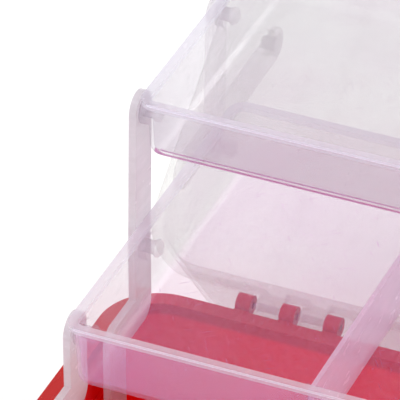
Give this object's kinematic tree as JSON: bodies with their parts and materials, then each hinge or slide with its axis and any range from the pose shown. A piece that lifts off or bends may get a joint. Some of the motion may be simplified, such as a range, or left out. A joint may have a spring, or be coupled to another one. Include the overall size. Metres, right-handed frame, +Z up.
{
  "type": "sewing box with trays",
  "caption": "Plastic sewing box shown open: red base, clear hinged lid and clear stepped trays that swing out on cantilever arms as the lid opens.",
  "frame": {"origin": "centre of the flat underside of the base", "axes": "+Z up, +X along the box, -Y towards the front; the lid opens towards +Y"},
  "size_m": [0.278, 0.3234, 0.1746],
  "materials": {
    "red_plastic": "glossy injection-moulded polypropylene",
    "clear_plastic": "hazy translucent polypropylene with a faint lilac tint",
    "steel": "plain drawn wire"
  },
  "bodies": {
    "base": {"base": "red_plastic", "base_rivets_left": "clear_plastic", "base_rivets_right": "clear_plastic", "hinge_pin_left": "steel", "hinge_pin_right": "steel"},
    "lid": {"lid": "clear_plastic", "latch_pin": "steel", "lid_rivet_left": "clear_plastic", "lid_rivet_right": "clear_plastic"},
    "front_arms": {"front_arm_left": "clear_plastic", "front_arm_right": "clear_plastic"},
    "lower_tray": {"lower_tray": "clear_plastic", "lower_tray_divider_left": "clear_plastic", "lower_tray_divider_right": "clear_plastic", "lower_tray_rivets_left": "clear_plastic", "lower_tray_rivets_right": "clear_plastic"},
    "long_arms": {"long_arm_left": "clear_plastic", "long_arm_right": "clear_plastic"},
    "upper_tray": {"upper_tray": "clear_plastic", "upper_tray_rivets_left": "clear_plastic", "upper_tray_rivets_right": "clear_plastic"},
    "rear_arms": {"rear_arm_left": "clear_plastic", "rear_arm_right": "clear_plastic"},
    "lid_links": {"lid_link_left": "clear_plastic", "lid_link_right": "clear_plastic"},
    "handle": {"handle": "red_plastic"},
    "latch": {"latch": "red_plastic"}
  },
  "joints": [
    {"name": "lid_hinge", "type": "hinge", "parent": "base", "child": "lid", "pos_m": [0, 0.0839, 0.0652], "axis": [1, 0, 0], "range_deg": [0, 143]},
    {"name": "front_arm_swing", "type": "hinge", "parent": "base", "child": "front_arms", "pos_m": [0, -0.004, 0.0257], "axis": [1, 0, 0], "range_deg": [0, 60.01]},
    {"name": "lower_tray_pivot", "type": "hinge", "parent": "front_arms", "child": "lower_tray", "pos_m": [0, 0.016, 0.0937], "axis": [1, 0, 0], "range_deg": [-60.01, 0]},
    {"name": "long_arm_swing", "type": "hinge", "parent": "base", "child": "long_arms", "pos_m": [0, 0.0445, 0.0257], "axis": [1, 0, 0], "range_deg": [0, 60.01]},
    {"name": "upper_tray_pivot", "type": "hinge", "parent": "long_arms", "child": "upper_tray", "pos_m": [0, 0.0663, 0.1437], "axis": [1, 0, 0], "range_deg": [-60.01, 0]},
    {"name": "rear_arm_swing", "type": "hinge", "parent": "lower_tray", "child": "rear_arms", "pos_m": [0, 0.1235, 0.0937], "axis": [1, 0, 0], "range_deg": [0, 60.01]},
    {"name": "lid_link_swing", "type": "hinge", "parent": "lid", "child": "lid_links", "pos_m": [0, 0.182, 0.096], "axis": [1, 0, 0], "range_deg": [0, 16.26]},
    {"name": "handle_swing", "type": "hinge", "parent": "lid", "child": "handle", "pos_m": [0, 0.17651, 0.05347], "axis": [-1, 0, 0], "range_deg": [0, 90]},
    {"name": "latch_swing", "type": "hinge", "parent": "lid", "child": "latch", "pos_m": [0, 0.22261, 0.15846], "axis": [1, 0, 0], "range_deg": [0, 40]}
  ],
  "couplings": [
    {"joint": "front_arm_swing", "follows": "lid_hinge", "ratio": 0.41958},
    {"joint": "lower_tray_pivot", "follows": "lid_hinge", "ratio": -0.41958},
    {"joint": "long_arm_swing", "follows": "lid_hinge", "ratio": 0.41958},
    {"joint": "upper_tray_pivot", "follows": "lid_hinge", "ratio": -0.41958},
    {"joint": "rear_arm_swing", "follows": "lid_hinge", "ratio": 0.41958},
    {"joint": "lid_link_swing", "follows": "lid_hinge", "ratio": 0.11361}
  ]
}
